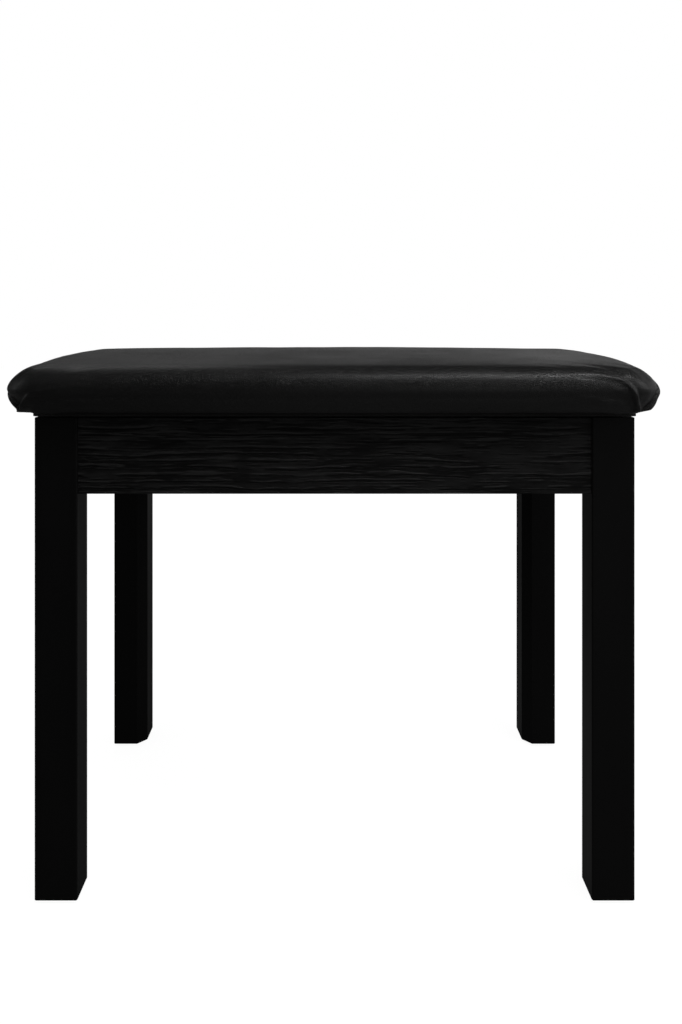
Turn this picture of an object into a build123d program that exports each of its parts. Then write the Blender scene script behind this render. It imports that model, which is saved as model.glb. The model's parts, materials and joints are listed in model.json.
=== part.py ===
from build123d import *
import os
from math import asin, atan2, cos, degrees, radians, sin, sqrt, tan

# Piano bench with a padded lid that lifts on a continuous hinge over a shallow music box.
# Millimetres. X runs along the bench, Y from the player (-Y) to the rear (+Y), Z up.
# The origin is on the floor under the middle of the bench.

# ---- Driving sizes -------------------------------------------------------------------

# Upholstered seat
seat_width = 576.0
seat_depth = 330.0
seat_overhang = 22.0
pad_height = 49.0
corner_cut = 20.0
corner_ease = 3.0
roll_radius = 20.0
widest_rise = 19.0
belly_round = 10.0
edge_tuck = 9.5
hem_round = 3.0
crown_sag_side = 2.0
crown_sag_front = 8.0
cover_thickness = 1.0
cover_return = 25.0
return_round = 10.0
board_thickness = 12.0
board_inset = 12.0
lining_thickness = 3.0
lining_lip = 2.0
lining_round = 6.0

# Wooden frame
leg_section = 38.0
leg_length = 428.0
leg_edge_round = 1.5
leg_inner_chamfer = 10.0
apron_height = 68.0
apron_thickness = 15.0
apron_setback = 2.0
apron_edge_round = 1.0
panel_thickness = 3.0
panel_rise = 8.0
panel_groove_depth = 5.0
panel_play = 0.4
dowel_diameter = 8.0
dowel_length = 30.0
dowel_low = 18.0
dowel_high = 50.0
dowel_end_gap = 0.5
bore_clearance = 0.05

# Feet and rests
glide_diameter = 24.0
glide_thickness = 2.5
glide_edge_round = 1.0
glide_nail_diameter = 2.0
glide_nail_length = 15.0
bumper_diameter = 12.0
bumper_thickness = 1.5

# Corner brackets and leg bolts
bracket_thickness = 2.0
bracket_panel_gap = 1.5
bracket_track_gap = 1.2
bracket_draw_gap = 3.5
bracket_flange = 17.0
bracket_bend_radius = 2.0
bracket_screw_spacing = 18.0
bolt_diameter = 6.0
bolt_depth = 27.0
bolt_length = 46.0
washer_diameter = 16.0
washer_thickness = 1.6
nut_hub_diameter = 12.0
nut_hub_height = 7.0
nut_wing_span = 28.0
nut_wing_height = 14.0
nut_wing_thickness = 2.5

# Continuous hinge
hinge_end_gap = 8.0
hinge_knuckle_length = 20.0
hinge_knuckle_diameter = 5.0
hinge_pin_diameter = 2.4
hinge_pin_clearance = 0.05
hinge_leaf_thickness = 1.2
hinge_leaf_width = 14.5
hinge_knuckle_gap = 0.3
hinge_screw_pitch = 110.0
hinge_back_offset = 0.5

# Lid stays
lid_opening = 75.0
stay_pivot_distance = 90.0
stay_pivot_drop = 8.0
stay_track_drop = 16.0
stay_arm_width = 12.0
stay_arm_thickness = 2.0
stay_pin_diameter = 5.0
stay_track_depth = 6.0
stay_track_wall = 1.2
stay_track_end_gap = 8.5
stay_track_screw_inset = 9.0
stay_mouth_play = 0.6
stay_slider_diameter = 9.5
stay_slider_play = 1.05
stay_slider_clearance = 0.3
stay_arm_gap = 1.0
stay_ear_gap = 0.5
stay_ear_thickness = 2.0
stay_foot_width = 24.0
stay_foot_reach = 22.0
stay_foot_thickness = 1.5
stay_foot_screw_inset = 6.0
rivet_diameter = 5.0
rivet_head_diameter = 9.0
rivet_head_height = 1.5
rivet_sink_diameter = 8.0
rivet_sink_depth = 1.3

# Wood screws: diameter of the shank, diameter and height of the head, length of the shank
screw_diameter = 3.0
screw_head_diameter = 6.0
screw_head_height = 1.7
bracket_screw_length = 13.0
hinge_screw_length = 14.0
track_screw_length = 12.0
foot_screw_length = 13.0
lining_screw_length = 12.0
lining_screw_inset = 30.0
lining_screw_count = 4
screw_point = 2.5

# ---- Levels and faces that follow from them --------------------------------------------

frame_top = glide_thickness + leg_length
lid_underside = frame_top + bumper_thickness
pad_bottom = lid_underside + lining_thickness
crown_top = pad_bottom + pad_height
board_bottom = pad_bottom + cover_thickness
board_top = board_bottom + board_thickness
widest_level = pad_bottom + widest_rise

frame_half_x = seat_width / 2 - seat_overhang
frame_half_y = seat_depth / 2 - seat_overhang
leg_inner_x = frame_half_x - leg_section
leg_inner_y = frame_half_y - leg_section
leg_centre_x = frame_half_x - leg_section / 2
leg_centre_y = frame_half_y - leg_section / 2
apron_outer_x = frame_half_x - apron_setback
apron_outer_y = frame_half_y - apron_setback
apron_inner_x = apron_outer_x - apron_thickness
apron_inner_y = apron_outer_y - apron_thickness
apron_bottom = frame_top - apron_height
panel_bottom = apron_bottom + panel_rise

knuckle_radius = hinge_knuckle_diameter / 2
hinge_standoff = knuckle_radius + hinge_knuckle_gap
hinge_y = frame_half_y + hinge_back_offset
hinge_z = lid_underside - hinge_standoff
rear_apron_top = hinge_z - hinge_standoff
hinge_length = 2 * (leg_inner_x - hinge_end_gap)
knuckle_count = 2 * round(hinge_length / hinge_knuckle_length / 2)
hinge_pitch = hinge_length / knuckle_count
hinge_screw_y = hinge_y - (hinge_leaf_width + hinge_standoff) / 2
hinge_screw_count = int(hinge_length // hinge_screw_pitch)
hinge_screw_x = [hinge_screw_pitch * (i - (hinge_screw_count - 1) / 2) for i in range(hinge_screw_count)]

pivot_y = hinge_y - stay_pivot_distance
pivot_z = hinge_z - stay_pivot_drop
track_level = hinge_z - stay_track_drop
track_half = stay_slider_diameter / 2 + stay_slider_play + stay_track_wall
track_mouth = stay_pin_diameter + 2 * stay_mouth_play
track_rear = leg_inner_y - stay_track_end_gap
track_front = -track_rear
track_face_x = apron_inner_x - stay_track_depth
arm_outer_x = track_face_x - stay_arm_gap
arm_inner_x = arm_outer_x - stay_arm_thickness
ear_outer_x = arm_inner_x - stay_ear_gap
ear_inner_x = ear_outer_x - stay_ear_thickness

bracket_bottom = panel_bottom + panel_thickness + bracket_panel_gap
bracket_top = track_level - track_half - bracket_track_gap
bolt_level = (bracket_bottom + bracket_top) / 2
leg_chamfer_sum = leg_inner_x + leg_inner_y + leg_inner_chamfer

roll_wall = pad_height - widest_rise - crown_sag_side - crown_sag_front
top_roll = min(roll_radius, roll_wall)
corner_round = top_roll + corner_ease

SIDES = {"left": -1, "right": 1}
ENDS = {"front": -1, "rear": 1}
CORNERS = {f"{end}_{side}": (sx, sy) for end, sy in ENDS.items() for side, sx in SIDES.items()}


# ---- Lid stay linkage ------------------------------------------------------------------

def stay_rise(angle):
    """Height of the stay's pivot above the track's centre line with the lid at an angle."""
    t = radians(angle)
    return stay_pivot_distance * sin(t) - stay_pivot_drop * cos(t) + stay_track_drop


def stay_slope(angle, length):
    """Slope of the arm in degrees, its pin below its pivot, with the pin on the centre line."""
    return degrees(asin(stay_rise(angle) / length))


def even_arm_length():
    """The arm length whose slope is halfway when the lid is halfway open."""
    short = max(stay_rise(0), stay_rise(lid_opening / 2), stay_rise(lid_opening)) * 1.0001
    long = 3 * short
    for _ in range(80):
        middle = (short + long) / 2
        ends = stay_slope(0, middle) + stay_slope(lid_opening, middle)
        if ends > 2 * stay_slope(lid_opening / 2, middle):
            short = middle
        else:
            long = middle
    return middle


arm_length = even_arm_length()
arm_slope = stay_slope(0, arm_length)
arm_turn = (stay_slope(lid_opening, arm_length) - arm_slope) / lid_opening
pin_y_closed = pivot_y - arm_length * cos(radians(arm_slope))


# ---- Helpers ---------------------------------------------------------------------------

def block(x0, x1, y0, y1, z0, z1):
    """A box between opposite corners."""
    size = (abs(x1 - x0), abs(y1 - y0), abs(z1 - z0))
    return Pos((x0 + x1) / 2, (y0 + y1) / 2, (z0 + z1) / 2) * Box(*size)


def rod(start, direction, radius, length):
    """A cylinder from a start point along a direction."""
    plane = Plane(origin=start, z_dir=direction)
    return plane * Cylinder(radius, length, align=(Align.CENTER, Align.CENTER, Align.MIN))


def cone(start, direction, radius, end_radius, length):
    """A cone frustum from a start point along a direction."""
    plane = Plane(origin=start, z_dir=direction)
    return plane * Cone(radius, end_radius, length, align=(Align.CENTER, Align.CENTER, Align.MIN))


def along(start, direction, distance):
    """The point at a distance from a start point along a direction."""
    return Vector(*start) + Vector(*direction).normalized() * distance


def pan_screw(seat, direction, length, play=0.0):
    """A pan head on the seat and a pointed shank along the direction; play widens its bore."""
    head_start = along(seat, direction, -screw_head_height)
    shank = rod(seat, direction, screw_diameter / 2 + play, length - screw_point)
    tip = cone(
        along(seat, direction, length - screw_point), direction,
        screw_diameter / 2 + play, screw_diameter / 8 + play, screw_point,
    )
    head = cone(
        head_start, direction, screw_head_diameter / 2 * 0.6, screw_head_diameter / 2, screw_head_height
    )
    return shank + tip if play else head + shank + tip


def flush_screw(seat, direction, length, play=0.0):
    """A countersunk screw whose head ends level with the seat; play widens its bore."""
    head = cone(seat, direction, screw_head_diameter / 2 + play, screw_diameter / 2 + play, screw_head_height)
    shank = rod(seat, direction, screw_diameter / 2 + play, length - screw_point)
    tip = cone(
        along(seat, direction, length - screw_point), direction,
        screw_diameter / 2 + play, screw_diameter / 8 + play, screw_point,
    )
    return head + shank + tip


def drill(piece, bores):
    """The piece with every bore cut from it."""
    for bore in bores:
        piece = piece - bore
    return piece


# ---- Fastener places: (seat point, direction) ------------------------------------------

def bracket_screw_places(sx, sy):
    """Screw seats on both flanges of the bracket in one corner."""
    reach = bracket_thickness / 2
    side_bend_y = leg_chamfer_sum - bracket_offset - (apron_inner_x - reach)
    end_bend_x = leg_chamfer_sum - bracket_offset - (apron_inner_y - reach)
    places = []
    for step in (-1, 1):
        z = bolt_level + step * bracket_screw_spacing / 2
        side_seat = (sx * (apron_inner_x - bracket_thickness), sy * (side_bend_y - bracket_flange / 2), z)
        end_seat = (sx * (end_bend_x - bracket_flange / 2), sy * (apron_inner_y - bracket_thickness), z)
        places.append((side_seat, (sx, 0, 0)))
        places.append((end_seat, (0, sy, 0)))
    return places


def hinge_screw_places(level, up):
    """Screw seats along one hinge leaf, on its open face."""
    return [((x, hinge_screw_y, level), (0, 0, up)) for x in hinge_screw_x]


def track_screw_places(sx):
    """Screw seats on the floor of the stay's track, past both ends of the slider's travel."""
    floor_x = apron_inner_x - stay_track_wall
    ends = (track_front + stay_track_screw_inset, track_rear - stay_track_screw_inset)
    return [((sx * floor_x, y, track_level), (sx, 0, 0)) for y in ends]


def foot_screw_places(sx):
    """Screw seats on the lid bracket of one stay."""
    x = (ear_inner_x + ear_outer_x - stay_foot_reach) / 2 - stay_foot_screw_inset / 2
    spread = stay_foot_width / 2 - stay_foot_screw_inset
    level = lid_underside - stay_foot_thickness
    return [((sx * x, pivot_y + step * spread, level), (0, 0, 1)) for step in (-1, 1)]


def lining_screw_places():
    """Screw seats round the underside of the lid's lining."""
    x = frame_half_x + lining_lip - lining_screw_inset
    y = frame_half_y + lining_lip - lining_screw_inset
    pitch = 2 * x / (lining_screw_count - 1)
    columns = [-x + pitch * i for i in range(lining_screw_count)]
    return [((cx, -y, lid_underside), (0, 0, 1)) for cx in columns]


bracket_offset = (bracket_draw_gap + bracket_thickness / 2) * sqrt(2)
bracket_screws = [place for sx, sy in CORNERS.values() for place in bracket_screw_places(sx, sy)]
frame_leaf_top = rear_apron_top + hinge_leaf_thickness
lid_leaf_bottom = lid_underside - hinge_leaf_thickness
frame_hinge_screws = hinge_screw_places(frame_leaf_top, -1)
lid_hinge_screws = hinge_screw_places(lid_leaf_bottom, 1)
track_screws = [place for sx in SIDES.values() for place in track_screw_places(sx)]
foot_screws = [place for sx in SIDES.values() for place in foot_screw_places(sx)]
lining_screws = lining_screw_places()

bracket_bores = [pan_screw(seat, to, bracket_screw_length, bore_clearance) for seat, to in bracket_screws]
track_bores = [flush_screw(seat, to, track_screw_length, bore_clearance) for seat, to in track_screws]
frame_hinge_bores = [flush_screw(seat, to, hinge_screw_length, bore_clearance) for seat, to in frame_hinge_screws]
lid_hinge_bores = [flush_screw(seat, to, hinge_screw_length, bore_clearance) for seat, to in lid_hinge_screws]
foot_bores = [flush_screw(seat, to, foot_screw_length, bore_clearance) for seat, to in foot_screws]
lining_bores = [flush_screw(seat, to, lining_screw_length, bore_clearance) for seat, to in lining_screws]


# ---- Legs, dowels, bolts and feet ------------------------------------------------------

def dowels_in_corner(sx, sy, radius, length):
    """Four dowels, two into each apron that meets the leg."""
    x_centre = apron_outer_x - apron_thickness / 2
    y_centre = apron_outer_y - apron_thickness / 2
    pegs = []
    for rise in (dowel_low, dowel_high):
        z = apron_bottom + rise
        pegs.append(rod((sx * (leg_inner_x - length / 2), sy * y_centre, z), (sx, 0, 0), radius, length))
        pegs.append(rod((sx * x_centre, sy * (leg_inner_y - length / 2), z), (0, sy, 0), radius, length))
    return pegs


def bolt_frame(sx, sy):
    """The point on the leg's chamfer where the bolt enters and the direction out of the leg."""
    x = leg_inner_x + leg_inner_chamfer / 2
    y = leg_inner_y + leg_inner_chamfer / 2
    return (sx * x, sy * y, bolt_level), (-sx, -sy, 0)


def leg_bolt(sx, sy, play=0.0):
    """A hanger bolt screwed into the leg, its free end standing into the corner."""
    entry, out = bolt_frame(sx, sy)
    return rod(along(entry, out, -bolt_depth), out, bolt_diameter / 2 + play, bolt_length)


def glide_nail(sx, sy, play=0.0):
    """The nail of a foot glide, up into the leg."""
    start = (sx * leg_centre_x, sy * leg_centre_y, glide_thickness)
    return rod(start, (0, 0, 1), glide_nail_diameter / 2 + play, glide_nail_length)


def leg(sx, sy):
    """A square leg with its inner corner planed off and bores for what it carries."""
    body = block(
        sx * leg_inner_x, sx * frame_half_x, sy * leg_inner_y, sy * frame_half_y, glide_thickness, frame_top
    )
    uprights = body.edges().filter_by(Axis.Z)
    inner = uprights.sort_by(lambda edge: abs(edge.center().X) + abs(edge.center().Y))[0]
    outer = [edge for edge in uprights if edge != inner]
    body = chamfer(inner, leg_inner_chamfer)
    outer = [
        edge for edge in body.edges().filter_by(Axis.Z)
        if abs(edge.center().X) + abs(edge.center().Y) > leg_chamfer_sum + leg_edge_round
    ]
    body = fillet(outer, leg_edge_round)
    body = chamfer(body.faces().sort_by(Axis.Z)[0].edges(), leg_edge_round / 2)
    bores = dowels_in_corner(sx, sy, dowel_diameter / 2 + bore_clearance, dowel_length + 2 * dowel_end_gap)
    bores += [leg_bolt(sx, sy, bore_clearance), glide_nail(sx, sy, bore_clearance)]
    return drill(body, bores)


def foot_glide(sx, sy):
    """A nylon glide with a rounded rim and a nail."""
    disc = rod((sx * leg_centre_x, sy * leg_centre_y, 0), (0, 0, 1), glide_diameter / 2, glide_thickness)
    disc = fillet(disc.edges().sort_by(Axis.Z)[0], glide_edge_round)
    return disc + glide_nail(sx, sy)


def lid_bumper(sx, sy):
    """A rubber rest on top of a leg."""
    return rod((sx * leg_centre_x, sy * leg_centre_y, frame_top), (0, 0, 1), bumper_diameter / 2, bumper_thickness)


# ---- Aprons and bottom panel -----------------------------------------------------------

def all_dowel_bores():
    """Bores for every dowel of the frame."""
    bores = []
    for sx, sy in CORNERS.values():
        bores += dowels_in_corner(
            sx, sy, dowel_diameter / 2 + bore_clearance, dowel_length + 2 * dowel_end_gap
        )
    return bores


def panel_groove():
    """The groove in the aprons that holds the bottom panel, as one ring-filling block."""
    x = apron_inner_x + panel_groove_depth
    y = apron_inner_y + panel_groove_depth
    return block(-x, x, -y, y, panel_bottom, panel_bottom + panel_thickness + panel_play)


def apron(half_x, half_y, centre_x, centre_y, top):
    """A straight rail between two legs, its long edges eased."""
    body = block(
        centre_x - half_x, centre_x + half_x, centre_y - half_y, centre_y + half_y, apron_bottom, top
    )
    lengthwise = Axis.X if half_x > half_y else Axis.Y
    return fillet(body.edges().filter_by(lengthwise), apron_edge_round) - panel_groove()


def end_apron(sy, top, bores):
    """The front or rear apron."""
    y = sy * (apron_outer_y - apron_thickness / 2)
    body = apron(leg_inner_x, apron_thickness / 2, 0, y, top)
    return drill(body, all_dowel_bores() + bores)


def side_apron(sx):
    """The left or right apron, bored for its brackets and the stay's track."""
    x = sx * (apron_outer_x - apron_thickness / 2)
    body = apron(apron_thickness / 2, leg_inner_y, x, 0, frame_top)
    return drill(body, all_dowel_bores() + bracket_bores + track_bores)


def bottom_panel():
    """The floor of the music box, held in the grooves and notched round the legs."""
    x = apron_inner_x + panel_groove_depth - panel_play
    y = apron_inner_y + panel_groove_depth - panel_play
    panel = block(-x, x, -y, y, panel_bottom, panel_bottom + panel_thickness)
    for sx, sy in CORNERS.values():
        panel -= block(
            sx * (leg_inner_x - panel_play), sx * (x + panel_play),
            sy * (leg_inner_y - panel_play), sy * (y + panel_play),
            panel_bottom, panel_bottom + panel_thickness,
        )
    return panel


# ---- Corner brackets -------------------------------------------------------------------

def corner_bracket(sx, sy):
    """A bent steel plate across the corner, a flange flat on each apron and a hole for the bolt."""
    reach = bracket_thickness / 2
    side_x = apron_inner_x - reach
    end_y = apron_inner_y - reach
    fold_sum = leg_chamfer_sum - bracket_offset
    path = FilletPolyline(
        (side_x, fold_sum - side_x - bracket_flange),
        (side_x, fold_sum - side_x),
        (fold_sum - end_y, end_y),
        (fold_sum - end_y - bracket_flange, end_y),
        radius=bracket_bend_radius + reach,
    )
    outline = make_face(offset(path, reach, side=Side.BOTH, closed=True, kind=Kind.TANGENT))
    plate = Pos(0, 0, bracket_bottom) * extrude(outline, bracket_top - bracket_bottom, dir=(0, 0, 1))
    if sx < 0:
        plate = mirror(plate, about=Plane.YZ)
    if sy < 0:
        plate = mirror(plate, about=Plane.XZ)
    return drill(plate, [leg_bolt(sx, sy, bore_clearance)] + bracket_bores)


def washer(sx, sy):
    """A washer on the bolt, flat on the bracket."""
    entry, out = bolt_frame(sx, sy)
    seat = along(entry, out, bracket_draw_gap + bracket_thickness)
    ring = rod(seat, out, washer_diameter / 2, washer_thickness)
    return ring - leg_bolt(sx, sy, bore_clearance)


def wing_nut(sx, sy):
    """A wing nut on the washer: a tapered hub with two flared, rounded wings."""
    entry, out = bolt_frame(sx, sy)
    seat = along(entry, out, bracket_draw_gap + bracket_thickness + washer_thickness)
    hub_radius = nut_hub_diameter / 2
    hub = cone(seat, out, hub_radius, hub_radius * 0.8, nut_hub_height)
    plane = Plane(origin=seat, x_dir=(0, 0, 1), z_dir=Vector(*out).cross(Vector(0, 0, 1)))
    forward = -1 if plane.y_dir.dot(Vector(*out)) < 0 else 1
    half_span = nut_wing_span / 2
    tip_radius = nut_wing_height * 0.28
    wings = None
    for way in (-1, 1):
        lobe = make_face(Polyline(
            (0, forward * nut_hub_height * 0.25),
            (way * (half_span - tip_radius * 0.6), forward * (nut_wing_height - 2 * tip_radius)),
            (way * half_span, forward * nut_wing_height),
            (way * (half_span - 2 * tip_radius), forward * nut_wing_height),
            (way * hub_radius * 0.8, forward * nut_hub_height * 0.8),
            (0, forward * nut_hub_height * 0.8),
            close=True,
        ))
        tips = [
            vertex for vertex in lobe.vertices()
            if abs(abs(vertex.Y) - nut_wing_height) < nut_wing_thickness / 10
        ]
        lobe = fillet(tips, tip_radius * 0.6)
        wing = plane * extrude(lobe, nut_wing_thickness / 2, both=True)
        wings = wing if wings is None else wings + wing
    return hub + wings - leg_bolt(sx, sy, bore_clearance)


# ---- Continuous hinge ------------------------------------------------------------------

def knuckle_span(index):
    """The ends in X of one knuckle, with the gap to its neighbours."""
    start = hinge_pitch * (index - knuckle_count / 2)
    return start + hinge_knuckle_gap / 2, start + hinge_pitch - hinge_knuckle_gap / 2


def hinge_leaf(parity, flat_low, flat_high, bores):
    """A hinge leaf: a plate cut back at the other leaf's knuckles, its own curled on the axis."""
    half = (hinge_length - hinge_knuckle_gap) / 2
    front = hinge_y - hinge_leaf_width
    back = hinge_y - hinge_standoff
    leaf = block(-half, half, front, back, flat_low, flat_high)
    for index in range(parity, knuckle_count, 2):
        x0, x1 = knuckle_span(index)
        curl = rod((x0, hinge_y, hinge_z), (1, 0, 0), knuckle_radius, x1 - x0)
        leaf += block(x0, x1, back, hinge_y, flat_low, flat_high) + curl
    pin_bore = rod(
        (-half, hinge_y, hinge_z), (1, 0, 0), hinge_pin_diameter / 2 + hinge_pin_clearance, 2 * half
    )
    return drill(leaf - pin_bore, bores)


def hinge_pin():
    """The pin through every knuckle."""
    length = hinge_length - hinge_knuckle_gap
    return rod((-length / 2, hinge_y, hinge_z), (1, 0, 0), hinge_pin_diameter / 2, length)


# ---- Lid stays -------------------------------------------------------------------------

def stay_track(sx):
    """A lipped steel channel along the side apron, its mouth towards the box."""
    half = track_half
    back = apron_inner_x
    inner = stay_track_wall
    channel = block(sx * track_face_x, sx * back, track_front, track_rear, track_level - half, track_level + half)
    hollow = block(
        sx * (track_face_x + inner), sx * (back - inner), track_front, track_rear,
        track_level - half + inner, track_level + half - inner,
    )
    mouth = block(
        sx * track_face_x, sx * (track_face_x + inner), track_front, track_rear,
        track_level - track_mouth / 2, track_level + track_mouth / 2,
    )
    for (_, y, z), out in track_screw_places(sx):
        mouth += rod(
            (sx * track_face_x, y, z), out, screw_head_diameter / 2 + stay_slider_clearance, inner
        )
    return drill(channel - hollow - mouth, track_bores)


def pin_point(x):
    """The point on the sliding pin's axis at one X, with the lid closed."""
    return x, pin_y_closed, pivot_z - arm_length * sin(radians(arm_slope))


def stay_arm(sx):
    """A flat arm with rounded ends, a countersunk pivot hole and a hole for the slider's pin."""
    plane = Plane(origin=(sx * arm_inner_x, pivot_y, pivot_z), x_dir=(0, 1, 0), z_dir=(sx, 0, 0))
    run = Vector(pin_y_closed - pivot_y, pin_point(0)[2] - pivot_z)
    turn = degrees(atan2(run.Y * plane.y_dir.Z, run.X))
    strip = Pos(run.X / 2, run.Y * plane.y_dir.Z / 2) * Rot(0, 0, turn) * SlotCenterToCenter(
        arm_length, stay_arm_width
    )
    arm = plane * extrude(strip, stay_arm_thickness)
    arm -= rod((sx * arm_inner_x, pivot_y, pivot_z), (sx, 0, 0), rivet_diameter / 2 + bore_clearance, stay_arm_thickness)
    arm -= cone(
        (sx * (arm_outer_x - rivet_sink_depth), pivot_y, pivot_z), (sx, 0, 0),
        rivet_diameter / 2 + bore_clearance, rivet_sink_diameter / 2 + bore_clearance, rivet_sink_depth,
    )
    return arm - rod(pin_point(sx * arm_inner_x), (sx, 0, 0), stay_pin_diameter / 2, stay_arm_thickness)


def stay_slider(sx):
    """A riveted pin with a round nylon head that runs inside the track."""
    head_inner = track_face_x + stay_track_wall + stay_slider_clearance
    head_outer = apron_inner_x - stay_track_wall - stay_slider_clearance
    shaft = rod(pin_point(sx * arm_inner_x), (sx, 0, 0), stay_pin_diameter / 2, head_outer - arm_inner_x)
    head = rod(pin_point(sx * head_inner), (sx, 0, 0), stay_slider_diameter / 2, head_outer - head_inner)
    clench = cone(
        pin_point(sx * arm_inner_x), (-sx, 0, 0), rivet_head_diameter / 2, rivet_head_diameter / 3, rivet_head_height / 2
    )
    return shaft + head + clench


def stay_bracket(sx):
    """An angle under the lid: a screwed foot and a round-ended ear that carries the pivot."""
    plane = Plane(origin=(sx * ear_inner_x, pivot_y, pivot_z), x_dir=(0, 1, 0), z_dir=(sx, 0, 0))
    up = plane.y_dir.Z
    rise = lid_underside - pivot_z
    half = stay_arm_width / 2
    ear_shape = Circle(half) + Pos(0, up * rise / 2) * Rectangle(2 * half, rise)
    ear = plane * extrude(ear_shape, stay_ear_thickness)
    foot = block(
        sx * (ear_outer_x - stay_foot_reach), sx * ear_outer_x,
        pivot_y - stay_foot_width / 2, pivot_y + stay_foot_width / 2,
        lid_underside - stay_foot_thickness, lid_underside,
    )
    hole = rod((sx * ear_inner_x, pivot_y, pivot_z), (sx, 0, 0), rivet_diameter / 2, stay_ear_thickness)
    free_corners = foot.edges().filter_by(Axis.Z).sort_by(lambda edge: abs(edge.center().X))[0:2]
    foot = fillet(free_corners, stay_foot_screw_inset / 2)
    return drill(ear + foot - hole, foot_bores)


def stay_rivet(sx):
    """The pivot: a round head on the ear and a countersunk head flush with the arm."""
    shaft = rod((sx * ear_inner_x, pivot_y, pivot_z), (sx, 0, 0), rivet_diameter / 2, arm_outer_x - ear_inner_x)
    sunk = cone(
        (sx * (arm_outer_x - rivet_sink_depth), pivot_y, pivot_z), (sx, 0, 0),
        rivet_diameter / 2, rivet_sink_diameter / 2, rivet_sink_depth,
    )
    head = cone(
        (sx * ear_inner_x, pivot_y, pivot_z), (-sx, 0, 0),
        rivet_head_diameter / 2, rivet_head_diameter / 3, rivet_head_height,
    )
    return shaft + sunk + head


# ---- Lid and upholstery ----------------------------------------------------------------

def pad_outline(inset):
    """The seat's plan with cut, softened corners, moved in by an inset."""
    half_x = seat_width / 2 - inset
    half_y = seat_depth / 2 - inset
    cut = corner_cut - (2 - sqrt(2)) * inset
    corners = (
        (half_x - cut, -half_y), (half_x, cut - half_y), (half_x, half_y - cut), (half_x - cut, half_y),
        (cut - half_x, half_y), (-half_x, half_y - cut), (-half_x, cut - half_y), (cut - half_x, -half_y),
    )
    plan = make_face(Polyline(*corners, close=True))
    return fillet(plan.vertices(), corner_round - inset)


def crown_solid(inset):
    """Everything under the crowned top: an arc across the seat swept round a wider arc along it."""
    top = crown_top - inset
    along_radius = (seat_width / 2) ** 2 / (2 * crown_sag_side)
    across_radius = (seat_depth / 2) ** 2 / (2 * crown_sag_front)
    edge_level = top - seat_depth ** 2 / (2 * across_radius)
    floor = pad_bottom - pad_height
    section = make_face([
        ThreePointArc((0, -seat_depth, edge_level), (0, 0, top), (0, seat_depth, edge_level)),
        Polyline((0, seat_depth, edge_level), (0, seat_depth, floor), (0, -seat_depth, floor),
                 (0, -seat_depth, edge_level)),
    ])
    axis = Axis((0, 0, top - along_radius), (0, 1, 0))
    sweep_angle = 1.2 * degrees(seat_width / 2 / along_radius)
    return revolve(section, axis, sweep_angle) + revolve(section, axis, -sweep_angle)


def cushion_form(inset):
    """The upholstered form moved in by an inset: tucked under, bellied, rolled over and crowned."""
    upper = Pos(0, 0, widest_level) * extrude(pad_outline(inset), pad_height, dir=(0, 0, 1))
    tuck_angle = degrees(atan2(edge_tuck, widest_rise))
    lower = Pos(0, 0, widest_level) * extrude(
        pad_outline(inset), widest_rise - inset, dir=(0, 0, -1), taper=tuck_angle
    )
    form = (upper + lower) & crown_solid(inset)
    form = fillet(form.faces().sort_by(Axis.Z)[-1].edges(), top_roll - inset)
    belly = [
        edge for edge in form.edges()
        if abs(edge.center().Z - widest_level) < hem_round / 10 and edge.bounding_box().size.Z < hem_round / 10
    ]
    form = fillet(belly, belly_round)
    return fillet(form.faces().sort_by(Axis.Z)[0].edges(), hem_round - inset)


def board_block():
    """The outline of the seat board, with softened corners."""
    half_x = seat_width / 2 - board_inset
    half_y = seat_depth / 2 - board_inset
    body = block(-half_x, half_x, -half_y, half_y, board_bottom, board_top)
    uprights = body.edges().filter_by(Axis.Z)
    body = chamfer(uprights, corner_cut)
    return fillet(body.edges().filter_by(Axis.Z), corner_round / 2)


def seat_board():
    """The plywood board under the upholstery."""
    return drill(board_block(), lid_hinge_bores + foot_bores + lining_bores)


def seat_foam():
    """The foam over and round the edge of the board."""
    return cushion_form(cover_thickness) - board_block()


def seat_cover():
    """The upholstery cover, drawn round the foam and turned in under the board."""
    opening_x = seat_width / 2 - edge_tuck - cover_return
    opening_y = seat_depth / 2 - edge_tuck - cover_return
    opening = block(-opening_x, opening_x, -opening_y, opening_y, pad_bottom, board_bottom)
    opening = fillet(opening.edges().filter_by(Axis.Z), return_round)
    shell = cushion_form(0) - cushion_form(cover_thickness) - opening
    return drill(shell, lid_hinge_bores)


def lid_lining():
    """The thin panel that closes the underside of the lid and rests on the legs."""
    x = frame_half_x + lining_lip
    y = frame_half_y + lining_lip
    panel = block(-x, x, -y, y, lid_underside, pad_bottom)
    panel = fillet(panel.edges().filter_by(Axis.Z), lining_round)
    return drill(panel, lid_hinge_bores + foot_bores + lining_bores)


# ---- All pieces ------------------------------------------------------------------------

def gather(solids):
    """Several solids as one node."""
    return Compound(children=[Part(solid.wrapped) for item in solids for solid in item.solids()])


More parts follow.
